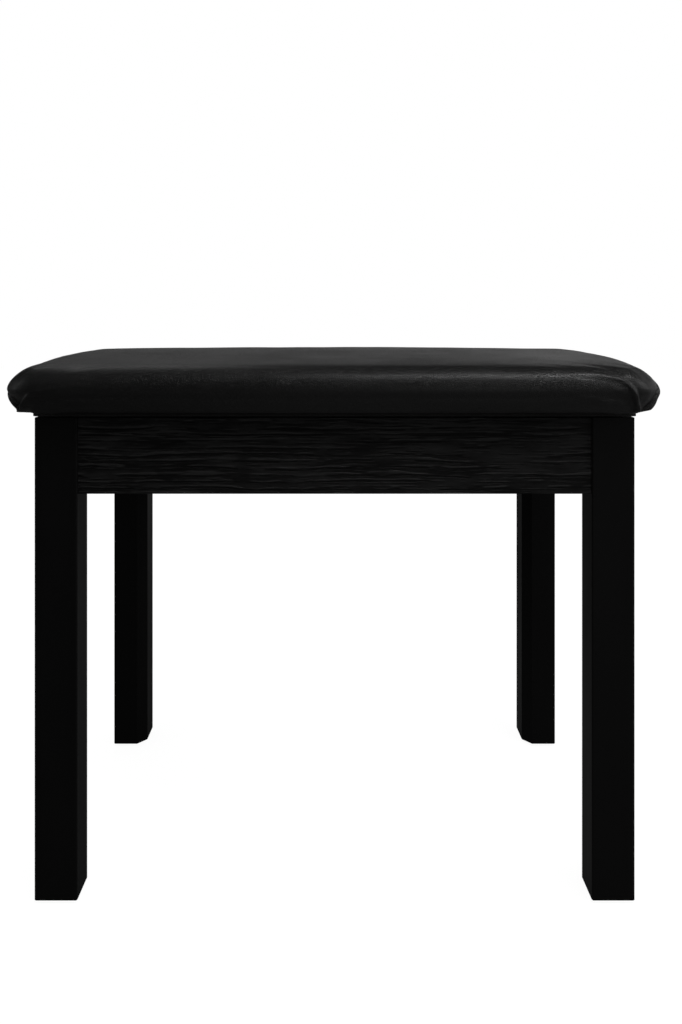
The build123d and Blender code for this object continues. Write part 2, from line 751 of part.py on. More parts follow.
def build_nodes():
    """Every piece of the bench by its name."""
    nodes = {}
    for corner, (sx, sy) in CORNERS.items():
        nodes[f"leg_{corner}"] = leg(sx, sy)
        nodes[f"foot_glide_{corner}"] = foot_glide(sx, sy)
        nodes[f"corner_bracket_{corner}"] = corner_bracket(sx, sy)
        nodes[f"wing_nut_{corner}"] = wing_nut(sx, sy)
    nodes["apron_front"] = end_apron(ENDS["front"], frame_top, bracket_bores)
    nodes["apron_rear"] = end_apron(ENDS["rear"], rear_apron_top, bracket_bores + frame_hinge_bores)
    for side, sx in SIDES.items():
        nodes[f"apron_{side}"] = side_apron(sx)
        nodes[f"stay_track_{side}"] = stay_track(sx)
        nodes[f"stay_arm_{side}"] = stay_arm(sx)
        nodes[f"stay_slider_{side}"] = stay_slider(sx)
        nodes[f"stay_bracket_{side}"] = stay_bracket(sx)
        nodes[f"stay_rivet_{side}"] = stay_rivet(sx)
    nodes["bottom_panel"] = bottom_panel()
    dowels = [
        peg for sx, sy in CORNERS.values() for peg in dowels_in_corner(sx, sy, dowel_diameter / 2, dowel_length)
    ]
    nodes["apron_dowels"] = gather(dowels)
    nodes["leg_bolts"] = gather([leg_bolt(sx, sy) for sx, sy in CORNERS.values()])
    nodes["bolt_washers"] = gather([washer(sx, sy) for sx, sy in CORNERS.values()])
    nodes["bracket_screws"] = gather([pan_screw(seat, to, bracket_screw_length) for seat, to in bracket_screws])
    nodes["lid_bumpers"] = gather([lid_bumper(sx, sy) for sx, sy in CORNERS.values()])
    nodes["stay_track_screws"] = gather([flush_screw(seat, to, track_screw_length) for seat, to in track_screws])
    nodes["hinge_leaf_frame"] = hinge_leaf(0, rear_apron_top, frame_leaf_top, frame_hinge_bores)
    nodes["hinge_leaf_lid"] = hinge_leaf(1, lid_leaf_bottom, lid_underside, lid_hinge_bores)
    nodes["hinge_pin"] = hinge_pin()
    nodes["hinge_screws_frame"] = gather(
        [flush_screw(seat, to, hinge_screw_length) for seat, to in frame_hinge_screws]
    )
    nodes["hinge_screws_lid"] = gather([flush_screw(seat, to, hinge_screw_length) for seat, to in lid_hinge_screws])
    nodes["stay_bracket_screws"] = gather([flush_screw(seat, to, foot_screw_length) for seat, to in foot_screws])
    nodes["lining_screws"] = gather([flush_screw(seat, to, lining_screw_length) for seat, to in lining_screws])
    nodes["seat_board"] = seat_board()
    nodes["seat_foam"] = seat_foam()
    nodes["seat_cover"] = seat_cover()
    nodes["lid_lining"] = lid_lining()
    return nodes


os.makedirs("parts", exist_ok=True)
for name, piece in build_nodes().items():
    piece.label = name
    export_step(piece, os.path.join("parts", f"{name}.step"))
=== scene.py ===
import json
from math import exp, pi, radians, sin

import bmesh
import bpy
from bpy.props import FloatProperty, FloatVectorProperty, PointerProperty
from mathutils import Matrix, Vector, noise
from mathutils.bvhtree import BVHTree

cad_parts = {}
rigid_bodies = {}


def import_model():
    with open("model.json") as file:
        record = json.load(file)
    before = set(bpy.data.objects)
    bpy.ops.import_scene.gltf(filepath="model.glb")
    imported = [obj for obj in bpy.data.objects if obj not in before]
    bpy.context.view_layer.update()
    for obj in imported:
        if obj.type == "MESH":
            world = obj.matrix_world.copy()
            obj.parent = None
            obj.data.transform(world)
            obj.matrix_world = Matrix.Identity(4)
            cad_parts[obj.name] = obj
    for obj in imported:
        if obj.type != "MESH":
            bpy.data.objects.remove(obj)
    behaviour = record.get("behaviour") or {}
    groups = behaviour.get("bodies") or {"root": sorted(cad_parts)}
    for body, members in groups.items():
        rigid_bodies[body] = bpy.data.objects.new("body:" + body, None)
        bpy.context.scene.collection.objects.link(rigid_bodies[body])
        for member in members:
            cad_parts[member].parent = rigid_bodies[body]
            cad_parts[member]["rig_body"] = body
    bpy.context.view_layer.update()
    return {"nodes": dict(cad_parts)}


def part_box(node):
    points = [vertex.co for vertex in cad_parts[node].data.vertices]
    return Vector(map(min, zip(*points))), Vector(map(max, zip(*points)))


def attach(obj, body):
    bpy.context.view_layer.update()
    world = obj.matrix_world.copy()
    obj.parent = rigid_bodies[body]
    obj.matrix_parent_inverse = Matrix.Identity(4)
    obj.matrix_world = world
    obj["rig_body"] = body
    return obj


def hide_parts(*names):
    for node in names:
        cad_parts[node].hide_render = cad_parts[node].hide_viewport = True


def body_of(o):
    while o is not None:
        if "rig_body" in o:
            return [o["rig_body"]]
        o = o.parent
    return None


bl_info = {
    "name": "Piano bench",
    "version": (1, 0, 0),
    "blender": (4, 5, 0),
    "location": "View3D > Sidebar > Piano bench",
    "description": "Dresses a lift-top piano bench: padded seat, wood, hinge and fittings",
    "category": "Object",
}

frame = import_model()
NODES = frame["nodes"]
MM = 0.001


# ---- Colour and node helpers -----------------------------------------------------------

def linear(hexcode):
    """An sRGB hex colour as linear RGBA."""
    channels = [int(hexcode[i:i + 2], 16) / 255 for i in (1, 3, 5)]
    turned = [c / 12.92 if c <= 0.04045 else ((c + 0.055) / 1.055) ** 2.4 for c in channels]
    return (*turned, 1.0)


def add(tree, kind, settings=None, inputs=None):
    """Adds a node, sets its settings and fills its inputs, where a socket or another node, which
    stands for its first output, is linked."""
    node = tree.nodes.new(kind)
    for key, value in (settings or {}).items():
        setattr(node, key, value)
    for key, value in (inputs or {}).items():
        socket = node.inputs[key]
        if isinstance(value, bpy.types.Node):
            value = value.outputs[0]
        if isinstance(value, bpy.types.NodeSocket):
            tree.links.new(value, socket)
        else:
            socket.default_value = value
    return node


def surface(name, base, roughness, specular=0.5, metallic=0.0):
    """A material with a Principled shader; returns it with its tree and shader."""
    material = bpy.data.materials.new(name)
    material.use_nodes = True
    tree = material.node_tree
    shader = tree.nodes["Principled BSDF"]
    shader.inputs["Base Color"].default_value = linear(base)
    shader.inputs["Roughness"].default_value = roughness
    shader.inputs["Specular IOR Level"].default_value = specular
    shader.inputs["Metallic"].default_value = metallic
    return material, tree, shader


def place(tree, scale=(1, 1, 1), aside=0.0):
    """Object coordinates in metres, scaled and then moved by the same distance along each axis."""
    return add(tree, "ShaderNodeMapping", inputs={
        "Vector": add(tree, "ShaderNodeTexCoord").outputs["Object"],
        "Scale": scale, "Location": (aside, aside, aside),
    })


def speckle(tree, size, detail=2.0, roughness=0.5, stretch=(1, 1, 1)):
    """Noise with features of a size in mm, drawn out along an axis by a stretch below 1."""
    return add(tree, "ShaderNodeTexNoise", inputs={
        "Vector": place(tree, stretch), "Scale": 1 / (size * MM), "Detail": detail, "Roughness": roughness,
    })


def streaks(tree, along, length, height, detail=2.0, roughness=0.5, aside=0.0):
    """Noise drawn out along X or Y, with features of a length and a height in mm."""
    slow, quick = 1 / (length * MM), 1 / (height * MM)
    stretch = (slow, quick, quick) if along == "X" else (quick, slow, quick)
    return add(tree, "ShaderNodeTexNoise", inputs={
        "Vector": place(tree, stretch, aside), "Scale": 1.0, "Detail": detail, "Roughness": roughness,
    })


def follow(tree, shader, pattern, colours=None, roughness=None, relief=None, span=(0.3, 0.7)):
    """Makes a surface follow a pattern. Colours and roughness are what the low and the high end of
    the pattern's span get. Relief is a bump's strength and its depth in mm, over any earlier bump."""
    low, high = span
    if colours:
        ramp = add(tree, "ShaderNodeValToRGB", inputs={"Fac": pattern})
        for stop, position, colour in zip(ramp.color_ramp.elements, span, colours):
            stop.position, stop.color = position, linear(colour)
        tree.links.new(ramp.outputs["Color"], shader.inputs["Base Color"])
    if roughness:
        gloss = add(tree, "ShaderNodeMapRange", inputs={
            "Value": pattern, "From Min": low, "From Max": high,
            "To Min": roughness[0], "To Max": roughness[1],
        })
        tree.links.new(gloss.outputs["Result"], shader.inputs["Roughness"])
    if relief:
        strength, depth = relief
        bump = add(tree, "ShaderNodeBump", inputs={
            "Height": pattern, "Strength": strength, "Distance": depth * MM,
        })
        for link in shader.inputs["Normal"].links:
            tree.links.new(link.from_socket, bump.inputs["Normal"])
        tree.links.new(bump.outputs["Normal"], shader.inputs["Normal"])


# ---- Materials -------------------------------------------------------------------------

def pebbled_leatherette():
    """PVC-coated cloth embossed with a pebble grain: rounded cells 1.6 mm across, a little coarser than
    most, between fine creases with painted shade that makes them darker, a soft sheen on the cells and slow
    changes of gloss where hands and wipes polish it."""
    material, tree, shader = surface("pebbled_leatherette", "#050505", 0.36, specular=0.3)
    pebble = 1.6 * MM
    crease_width = 0.16  # in pebbles
    warp = add(tree, "ShaderNodeTexNoise", inputs={
        "Vector": place(tree), "Scale": 0.25 / pebble, "Detail": 2.0,
    })
    bent = add(tree, "ShaderNodeVectorMath", {"operation": "MULTIPLY_ADD"}, {
        0: warp.outputs["Color"], 1: (pebble, pebble, pebble), 2: place(tree),
    })
    edges, cells = (
        add(tree, "ShaderNodeTexVoronoi", {"feature": feature}, {
            "Vector": bent, "Scale": 1 / pebble, "Randomness": 0.9,
        })
        for feature in ("DISTANCE_TO_EDGE", "F1")
    )
    crease = add(tree, "ShaderNodeMapRange", {"interpolation_type": "SMOOTHSTEP"}, {
        "Value": edges.outputs["Distance"], "From Max": crease_width,
    })
    # Painted shade: the creases are painted darker than the cells.
    follow(tree, shader, crease, colours=("#020202", "#060606"), span=(0.0, 0.9))
    # This painted crease shade is mixed below with a random tone for each cell.
    tint = shader.inputs["Base Color"].links[0].from_socket
    cell_value = add(tree, "ShaderNodeSeparateColor", inputs={"Color": cells.outputs["Color"]})
    patch = add(tree, "ShaderNodeMix", {"data_type": "RGBA", "blend_type": "MIX"}, {
        "Factor": cell_value, 6: tint, 7: linear("#040404"),
    })
    tree.links.new(patch.outputs[2], shader.inputs["Base Color"])
    wear = add(tree, "ShaderNodeMapRange", inputs={
        "Value": speckle(tree, 90, detail=3.0), "From Min": 0.3, "From Max": 0.7,
        "To Min": 0.30, "To Max": 0.40,
    })
    dull = add(tree, "ShaderNodeMath", {"operation": "MULTIPLY_ADD"}, {0: crease, 1: -0.12, 2: wear})
    rough = add(tree, "ShaderNodeMath", {"operation": "ADD"}, {0: dull, 1: 0.1})
    tree.links.new(rough.outputs[0], shader.inputs["Roughness"])
    dome = add(tree, "ShaderNodeMath", {"operation": "POWER"}, {0: crease, 1: 0.6})
    follow(tree, shader, dome, relief=(0.55, 0.22))
    follow(tree, shader, speckle(tree, 0.35), relief=(0.25, 0.05))
    return material


def wood_ridges(tree, apart, wander, broken):
    """Broken ridges along the grain, level with the floor and apart by some mm, and the groove brushed
    out below each one, both from 0 to 1, for relief and for painted highlight and painted shade.
    Wander bends them and broken says where they stop."""
    bend, below = 10.0, 1.9  # in radians of the wave across the grain
    up = add(tree, "ShaderNodeSeparateXYZ", inputs={"Vector": place(tree)}).outputs["Z"]
    turns = add(tree, "ShaderNodeMath", {"operation": "MULTIPLY"}, {0: up, 1: 2 * pi / (apart * MM)})
    phase = add(tree, "ShaderNodeMath", {"operation": "MULTIPLY_ADD"}, {0: wander, 1: bend, 2: turns})
    mask = add(tree, "ShaderNodeMapRange", {"interpolation_type": "SMOOTHSTEP"}, {
        "Value": broken, "From Min": 0.45, "From Max": 0.63,
    })
    found = []
    for ahead, foot in ((0.0, 0.35), (below, 0.25)):
        moved = add(tree, "ShaderNodeMath", {"operation": "ADD"}, {0: phase, 1: ahead})
        wave = add(tree, "ShaderNodeMath", {"operation": "SINE"}, {0: moved})
        line = add(tree, "ShaderNodeMapRange", {"interpolation_type": "SMOOTHSTEP"}, {
            "Value": wave, "From Min": foot, "From Max": 1.0,
        })
        found.append(add(tree, "ShaderNodeMath", {"operation": "MULTIPLY"}, {0: line, 1: mask}))
    return found


def brushed_wood(name, along):
    """Ash brushed out along the grain, stained and sprayed satin black: the hard late wood stands
    proud as thin, nearly straight ridges some 6 mm apart, broken every few centimetres, with a painted
    highlight that makes them a little paler and painted shade on the soft wood brushed out below them;
    finer ones and short pores between. The ridges are drawn about twice as far apart as in most ash."""
    material, tree, shader = surface(name, "#0b0b0b", 0.5, specular=0.16)
    ridge, groove = wood_ridges(
        tree, 6.0, streaks(tree, along, 75, 12), streaks(tree, along, 34, 6, aside=3.0))
    small_ridge, small_groove = wood_ridges(
        tree, 3.1, streaks(tree, along, 50, 9, aside=7.0), streaks(tree, along, 20, 4, aside=5.0))
    raised = add(tree, "ShaderNodeMath", {"operation": "MULTIPLY_ADD"}, {0: small_ridge, 1: 0.3, 2: ridge})
    height = streaks(tree, along, 60, 14, aside=9.0)
    pores = streaks(tree, along, 9, 0.9)
    for layer, share in ((pores, 0.35), (small_groove, -0.35), (groove, -0.9), (raised, 1.0)):
        height = add(tree, "ShaderNodeMath", {"operation": "MULTIPLY_ADD"}, {0: layer, 1: share, 2: height})
    # Painted highlight and painted shade: over a random tone along the grain, the colour is paler on the
    # ridges and darker in the grooves below them.
    follow(tree, shader, height, colours=("#010101", "#171717"), relief=(1.0, 0.8), span=(0.55, 1.0))
    follow(tree, shader, raised, roughness=(0.62, 0.42), span=(0.0, 1.0))
    return material


def satin_lacquer():
    """Hardwood filled and sprayed with satin black lacquer: nearly flat, with a faint orange peel
    from the spray gun and a slow change of sheen down the leg."""
    material, tree, shader = surface("satin_black_lacquer", "#050505", 0.55, specular=0.1)
    sheen = speckle(tree, 60, detail=3.0, stretch=(1, 1, 0.25))
    follow(tree, shader, sheen, colours=("#040404", "#060606"), roughness=(0.48, 0.62))
    follow(tree, shader, speckle(tree, 1.8), relief=(0.25, 0.06))
    return material


def faced_fibreboard():
    """Thin fibreboard faced with black paper foil: matt, with the fine tooth of the pressed foil
    and long, faint scuffs."""
    material, tree, shader = surface("black_faced_fibreboard", "#0c0c0c", 0.7, specular=0.25)
    scuff = speckle(tree, 45, detail=5.0, roughness=0.7, stretch=(1, 3, 1))
    follow(tree, shader, scuff, colours=("#0a0a0a", "#151514"), span=(0.35, 0.75))
    follow(tree, shader, speckle(tree, 0.9, detail=3.0), relief=(0.35, 0.08))
    return material


def brushed_metal(name, base, grain, stretch, roughness, worn=None):
    """Sheet metal, rolled or plated: fine drawn lines one way and a slow change of tint."""
    material, tree, shader = surface(name, base, roughness, metallic=1.0)
    lines = speckle(tree, grain, detail=4.0, roughness=0.6, stretch=stretch)
    follow(tree, shader, lines, roughness=(roughness - 0.08, roughness + 0.1), relief=(0.15, 0.02))
    follow(tree, shader, speckle(tree, 14, detail=3.0), colours=(worn or base, base))
    return material


def moulded(name, base, roughness, specular=0.4):
    """Moulded nylon or rubber: even colour with the faint texture of the mould."""
    material, tree, shader = surface(name, base, roughness, specular=specular)
    follow(tree, shader, speckle(tree, 0.6), relief=(0.2, 0.05))
    return material


def raw_wood(name, base, dark):
    """Unfinished wood: straight grain along X, darker late wood and a dull, dry surface."""
    material, tree, shader = surface(name, base, 0.75, specular=0.3)
    grain = streaks(tree, "X", 60, 3, detail=5.0, roughness=0.6)
    follow(tree, shader, grain, colours=(dark, base), relief=(0.3, 0.15))
    return material


def paint(names, material):
    """Gives CAD nodes, by the start of their names, one material."""
    for name, piece in NODES.items():
        if name.startswith(names):
            piece.data.materials.clear()
            piece.data.materials.append(material)


def new_piece(name, mesh, material, body):
    """A finished mesh as an object of the bench, riding on its body."""
    piece = bpy.data.objects.new(name, mesh)
    bpy.context.scene.collection.objects.link(piece)
    mesh.materials.clear()
    mesh.materials.append(material)
    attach(piece, body)
    return piece


# ---- Sizes and colours that a user may change -------------------------------------------

SEAT_LOW, SEAT_HIGH = (Vector(corner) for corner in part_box("seat_cover"))
BOARD_HIGH = Vector(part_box("seat_board")[1])


class SeatSizes(bpy.types.PropertyGroup):
    voxel: FloatProperty(
        name="Sewing blank mesh", description="Size of the cells the seat is simulated with",
        default=4.5 * MM, unit="LENGTH")
    slack: FloatProperty(
        name="Slack", description="How far inside the CAD cover the blank lies before it is filled",
        default=0.8 * MM, unit="LENGTH")
    pressure: FloatProperty(
        name="Foam pressure", description="How hard the foam fills the cover", default=4.0)
    swell: FloatProperty(
        name="Largest swell", description="Furthest the cover may move as it is filled",
        default=1.2 * MM, unit="LENGTH")
    pleat_ridge: FloatProperty(
        name="Pleat ridge", description="Height of the folded edge beside each corner flap",
        default=2.5 * MM, unit="LENGTH")
    pleat_lap: FloatProperty(
        name="Pleat lap", description="How far the folded edge leans over its corner flap",
        default=0.4 * MM, unit="LENGTH")
    pleat_drop: FloatProperty(
        name="Pleat drop", description="How much deeper the corner flap lies than the pleats beside it",
        default=1.7 * MM, unit="LENGTH")
    pleat_ear: FloatProperty(
        name="Pleat ear", description="How far the pleat's lower end stands out at the hem",
        default=1.7 * MM, unit="LENGTH")
    taper: FloatProperty(
        name="Corner taper", description="How far the sides are drawn in beside a corner's pleats",
        default=1.6 * MM, unit="LENGTH")


class FastenerSizes(bpy.types.PropertyGroup):
    head: FloatProperty(
        name="Head radius", description="Radius of a screw's head", default=3.0 * MM, unit="LENGTH")
    shank: FloatProperty(
        name="Shank radius", description="Radius of a screw's shank", default=1.5 * MM, unit="LENGTH")
    height: FloatProperty(
        name="Head height", description="Height of a screw's head", default=1.7 * MM, unit="LENGTH")
    point: FloatProperty(
        name="Point", description="Length of a screw's tapered point", default=2.5 * MM, unit="LENGTH")
    slot_width: FloatProperty(
        name="Recess width", description="Width of one arm of the cross recess",
        default=0.85 * MM, unit="LENGTH")
    slot_span: FloatProperty(
        name="Recess span", description="Length of the cross recess from end to end",
        default=2.9 * MM, unit="LENGTH")
    slot_depth: FloatProperty(
        name="Recess depth", description="Depth of the cross recess", default=1.1 * MM, unit="LENGTH")
    bolt: FloatProperty(
        name="Bolt radius", description="Radius of a leg bolt", default=3.0 * MM, unit="LENGTH")
    pitch: FloatProperty(
        name="Thread pitch", description="Height of one turn of a bolt's thread",
        default=1.0 * MM, unit="LENGTH")
    thread: FloatProperty(
        name="Thread length", description="Length of the thread at a bolt's free end",
        default=18.0 * MM, unit="LENGTH")


class StageSizes(bpy.types.PropertyGroup):
    floor_size: FloatProperty(
        name="Floor size", description="Width of the floor", default=12.0, unit="LENGTH")
    camera_height: FloatProperty(
        name="Camera height", description="Height of the camera over the floor",
        default=0.5257, unit="LENGTH")
    camera_distance: FloatProperty(
        name="Camera distance", description="From the middle of the bench to the camera",
        default=0.828, unit="LENGTH")
    lens: FloatProperty(
        name="Lens", description="Focal length on a 36 mm frame", default=27.2, unit="CAMERA")
    shift_across: FloatProperty(
        name="Shift across", description="How far the level camera looks to the right", default=0.00625)
    shift_up: FloatProperty(
        name="Shift up", description="How far the level camera looks up", default=-0.197)
    ambient: FloatProperty(
        name="Ambient light", description="Strength of the light from all round", default=0.9)
    background: FloatVectorProperty(
        name="Background", description="Colour behind the bench", subtype="COLOR", default=(1, 1, 1))


# ---- Seat ------------------------------------------------------------------------------

# Each corner was folded by hand. By the signs of x and y: where the pleats of the front or rear face
# and of the end face meet the hem, in mm from the corner, how low the fold is pulled, how flat the
# corner's shoulder is drawn and how far the foam is pushed out towards the end, in mm.
CORNERS = {
    (1, -1): (24.2, 22, 1.0, 4.2, 4.0),
    (-1, -1): (14.5, 20, 0.66, 0.5, 6.5),
    (1, 1): (20, 22, 0.9, 3.0, 3.5),
    (-1, 1): (23, 20, 0.9, 3.5, 3.0),
}
PLEATED_SPAN = 80 * MM  # how far from the pad's corner its pleats may lie
DRAWN_SPAN = 90 * MM  # how far from the pad's corner it is drawn in
PLEAT_HEIGHT = 32 * MM  # from the hem to the shoulder
PLEAT_BEND = 15 * MM  # how far a pleat has drawn away from the corner at the shoulder
PLEAT_RUN = 26 * MM  # how much further it runs out along the rolled edge
FILL_FRAMES = 20  # steps of the cloth simulation


def smooth_step(low, high, value):
    """0 below low, 1 above high, smooth between."""
    t = min(max((value - low) / (high - low), 0.0), 1.0)
    return t * t * (3 - 2 * t)


def hill(distance, width):
    """1 at no distance, falling off smoothly over a width."""
    return exp(-(distance / width) ** 2)


def signs(point):
    """Which corner a point is nearest to."""
    return 1 if point.x > 0 else -1, 1 if point.y > 0 else -1


def inset(point):
    """How far a point lies in from the nearer end and from the nearer of front and rear."""
    return SEAT_HIGH.x - abs(point.x), SEAT_HIGH.y - abs(point.y)


def evaluated(piece):
    """The piece's mesh with its modifiers applied, as a new mesh."""
    graph = bpy.context.evaluated_depsgraph_get()
    graph.update()
    return bpy.data.meshes.new_from_object(piece.evaluated_get(graph))


def sewing_blank(voxel):
    """The foam and board as one closed mesh of even cells."""
    bm = bmesh.new()
    for name in ("seat_foam", "seat_board"):
        bm.from_mesh(NODES[name].data)
    bmesh.ops.remove_doubles(bm, verts=bm.verts, dist=0.01 * MM)
    mesh = bpy.data.meshes.new("blank")
    bm.to_mesh(mesh)
    bm.free()
    blank = bpy.data.objects.new("blank", mesh)
    bpy.context.scene.collection.objects.link(blank)
    remesh = blank.modifiers.new("cells", "REMESH")
    remesh.mode = "VOXEL"
    remesh.voxel_size = voxel
    relax = blank.modifiers.new("relax", "SMOOTH")
    relax.factor = 0.5
    relax.iterations = 4
    even = evaluated(blank)
    bpy.data.objects.remove(blank)
    bpy.data.meshes.remove(mesh)
    return even


def fit_to_cover(mesh, slack):
    """Moves the blank out, along its own normals, until it lies a little inside the CAD cover."""
    bm = bmesh.new()
    bm.from_mesh(NODES["seat_cover"].data)
    skin = BVHTree.FromBMesh(bm)
    bm.free()
    reach = 12 * MM
    for vertex in mesh.vertices:
        normal = vertex.normal.copy()
        hit = skin.ray_cast(vertex.co + normal * reach, -normal, 1.5 * reach)[0]
        if hit:
            vertex.co = hit - normal * slack


def fill_with_foam(piece, settings):
    """Swells the cover with pressure while its tucked-in edge is held, within a set distance."""
    held = piece.vertex_groups.new(name="held")
    for vertex in piece.data.vertices:
        hold = 1 - smooth_step(SEAT_LOW.z + 2 * MM, BOARD_HIGH.z + 4 * MM, vertex.co.z)
        held.add([vertex.index], hold, "REPLACE")
    cloth = piece.modifiers.new("cloth", "CLOTH")
    cloth.settings.quality = 6
    cloth.settings.mass = 0.4
    cloth.settings.tension_stiffness = 40
    cloth.settings.compression_stiffness = 30
    cloth.settings.bending_stiffness = 2
    cloth.settings.vertex_group_mass = "held"
    cloth.settings.use_pressure = True
    cloth.settings.uniform_pressure_force = settings.pressure
    cloth.settings.effector_weights.gravity = 0
    cloth.collision_settings.use_collision = False
    cloth.point_cache.frame_start = 1
    cloth.point_cache.frame_end = FILL_FRAMES
    for step in range(1, FILL_FRAMES + 1):
        bpy.context.scene.frame_set(step)
    filled = evaluated(piece)
    piece.modifiers.remove(cloth)
    for vertex, target in zip(piece.data.vertices, filled.vertices):
        move = target.co - vertex.co
        if move.length > settings.swell:
            move *= settings.swell / move.length
        vertex.co += move
    bpy.data.meshes.remove(filled)
    bpy.context.scene.frame_set(1)


def pleat_curve(climb):
    """How far a pleat has drawn away from the corner at a height from 0, the hem, to 1, the shoulder."""
    return PLEAT_BEND * climb ** 2.2 + PLEAT_RUN * smooth_step(0.88, 1.3, climb)


def pleat_places(point):
    """Distances from a corner's front or rear pleat and its end pleat, positive towards the flap
    between them, and the folds' height there from 0 at the hem to 1 at the shoulder. A pleat starts at
    the hem and curves away from the corner as it climbs, to run out along the rolled edge."""
    from_end, from_front = inset(point)
    on_front, on_end, low = CORNERS[signs(point)][:3]
    height = PLEAT_HEIGHT * low
    climb = min(max(point.z - SEAT_LOW.z - 1 * MM, 0.0) / height, 1.5)
    curve = pleat_curve(climb)
    step = 0.02
    slope = (pleat_curve(climb + step) - curve) / (step * height)
    shorten = 1 / Vector((1, slope)).length
    return (on_front * MM + curve - from_end) * shorten, (on_end * MM + curve - from_front) * shorten, climb


def near_corner(point, reach):
    """True within reach of a corner's pleats."""
    by_front, by_end = pleat_places(point)[:2]
    return max(inset(point)) < PLEATED_SPAN and min(abs(by_front), abs(by_end)) < reach


def refine(bm, reach):
    """Halves the faces within reach of a pleat and above the hem."""
    hem, shoulder = SEAT_LOW.z + 0.2 * MM, SEAT_HIGH.z - 6 * MM
    edges = [
        edge for edge in bm.edges
        if all(near_corner(vertex.co, reach) for vertex in edge.verts)
        and max(vertex.co.z for vertex in edge.verts) > hem
        and min(vertex.co.z for vertex in edge.verts) < shoulder
    ]
    bmesh.ops.subdivide_edges(bm, edges=edges, cuts=1, use_grid_fill=True, smooth=0.4)


def draw_corners(bm, settings):
    """Draws each corner in from the belly up to the shoulder and the sides in beside the pleats, as the
    cover is stretched down over the foam, and lets the foam stand out low on the end."""
    deepest_tuck = 4 * MM
    inwards = 0.35  # how far down a shoulder is drawn for each length it is drawn in
    for vertex in bm.verts:
        point = vertex.co
        from_end, from_front = inset(point)
        if max(from_end, from_front) > DRAWN_SPAN:
            continue
        rise = point.z - SEAT_LOW.z
        side_x, side_y = signs(point)
        outward = Vector((side_x, side_y, 0)).normalized()
        flat, push = CORNERS[side_x, side_y][3:]

        corner = hill(Vector((from_end, from_front)).length, 42 * MM)
        shoulder = smooth_step(10 * MM, 38 * MM, rise)
        point -= (outward + Vector((0, 0, inwards))) * flat * MM * corner * shoulder

        end = 1 - smooth_step(8 * MM, 40 * MM, from_end)
        near = hill(max(from_front - 20 * MM, 0), 24 * MM)
        belly = smooth_step(-2 * MM, 16 * MM, rise) * (1 - smooth_step(17 * MM, 42 * MM, rise))
        tuck = deepest_tuck * max(1 - max(rise, 0) / (12 * MM), 0) ** 2
        point.x += side_x * (push * MM * belly - tuck) * end * near

        beside = hill(max(from_end, from_front) - 26 * MM, 22 * MM)
        low = smooth_step(-1 * MM, 3 * MM, rise) * (1 - smooth_step(12 * MM, 30 * MM, rise))
        on_front = smooth_step(-12 * MM, 12 * MM, from_end - from_front)
        side = Vector((outward.x * (1 - on_front), outward.y * on_front, 0))
        point -= side * settings.taper * beside * low


def fold_pleats(bm, settings):
    """Raises each pleat's folded edge and leans it over the flap beside it, lays the flap deeper and
    gathers it finely at the hem."""
    ripple, gather = 0.35 * MM, 0.06 * MM  # heights of the waves beside a pleat and along the flap
    ripple_up, ripple_across = 520, 90  # radians in a metre
    gather_pitch = 6 * MM
    bm.normal_update()
    moves = []
    for vertex in bm.verts:
        point = vertex.co
        if not near_corner(point, 30 * MM):
            continue
        by_front, by_end, climb = pleat_places(point)
        rise = point.z - SEAT_LOW.z
        strength = (1 - smooth_step(0.9, 1.3, climb)) * smooth_step(0, 4 * MM, rise)
        outward = Vector((vertex.normal.x, vertex.normal.y, 0.25 * vertex.normal.z))
        if outward.length < 0.05 or strength == 0:
            continue
        outward.normalize()
        ear = 1 - smooth_step(4 * MM, 13 * MM, rise)
        folded = 1 - smooth_step(0.45, 1.0, climb)
        raised = 0
        lap = Vector()
        for across, lean in ((by_front, Vector((point.x, 0, 0))), (by_end, Vector((0, point.y, 0)))):
            edge = hill(across + 1.0 * MM, (2.6 + 0.3 * ear) * MM)
            raised += (settings.pleat_ridge * (0.3 + 0.7 * folded) + settings.pleat_ear * ear) * edge
            wave = sin(point.z * ripple_up + point.x * ripple_across)
            raised += ripple * wave * hill(across + 9 * MM, 6 * MM)
            lap += lean.normalized() * settings.pleat_lap * folded * hill(across + 0.6 * MM, 1.4 * MM)
        inside = min(by_front, by_end)
        flap = smooth_step(0, 2.2 * MM, inside) * hill(max(inside, 0), 17 * MM)
        raised -= settings.pleat_drop * folded * flap
        gathers = sin(inside * 2 * pi / gather_pitch) * smooth_step(2 * MM, 5 * MM, inside)
        raised += gather * gathers * (1 - smooth_step(3 * MM, 14 * MM, rise))
        moves.append((vertex, (outward * raised + lap) * strength))
    for vertex, move in moves:
        vertex.co += move


def ease_surface(bm):
    """Slow, shallow unevenness of foam and glue, and a slight scallop along the stapled hem."""
    slow, quick, scallop = 0.7 * MM, 0.25 * MM, 0.25 * MM
    staple_pitch = 38 * MM
    bm.normal_update()
    for vertex in bm.verts:
        point = vertex.co
        rise = point.z - SEAT_LOW.z
        uneven = noise.noise(point * 9.0) * slow + noise.noise(point * 26.0 + Vector((3, 1, 7))) * quick
        hem = 1 - smooth_step(2 * MM, 14 * MM, rise)
        drawn = scallop * sin((point.x + point.y) * 2 * pi / staple_pitch) * hem
        vertex.co += vertex.normal * (uneven + drawn) * smooth_step(1 * MM, 8 * MM, rise)


def settle_underside(bm):
    """Keeps the tucked-in underside flat on the lid's lining, clear of it by a hair, as far out as the
    board reaches with its corners cut back."""
    floor = SEAT_LOW.z + 0.05 * MM
    corner = 30 * MM
    for vertex in bm.verts:
        beyond = Vector((
            max(abs(vertex.co.x) - BOARD_HIGH.x + corner, 0),
            max(abs(vertex.co.y) - BOARD_HIGH.y + corner, 0),
        ))
        under = vertex.co.z < SEAT_LOW.z + 3 * MM and beyond.length < corner + 1 * MM
        if under or vertex.co.z < floor:
            vertex.co.z = floor


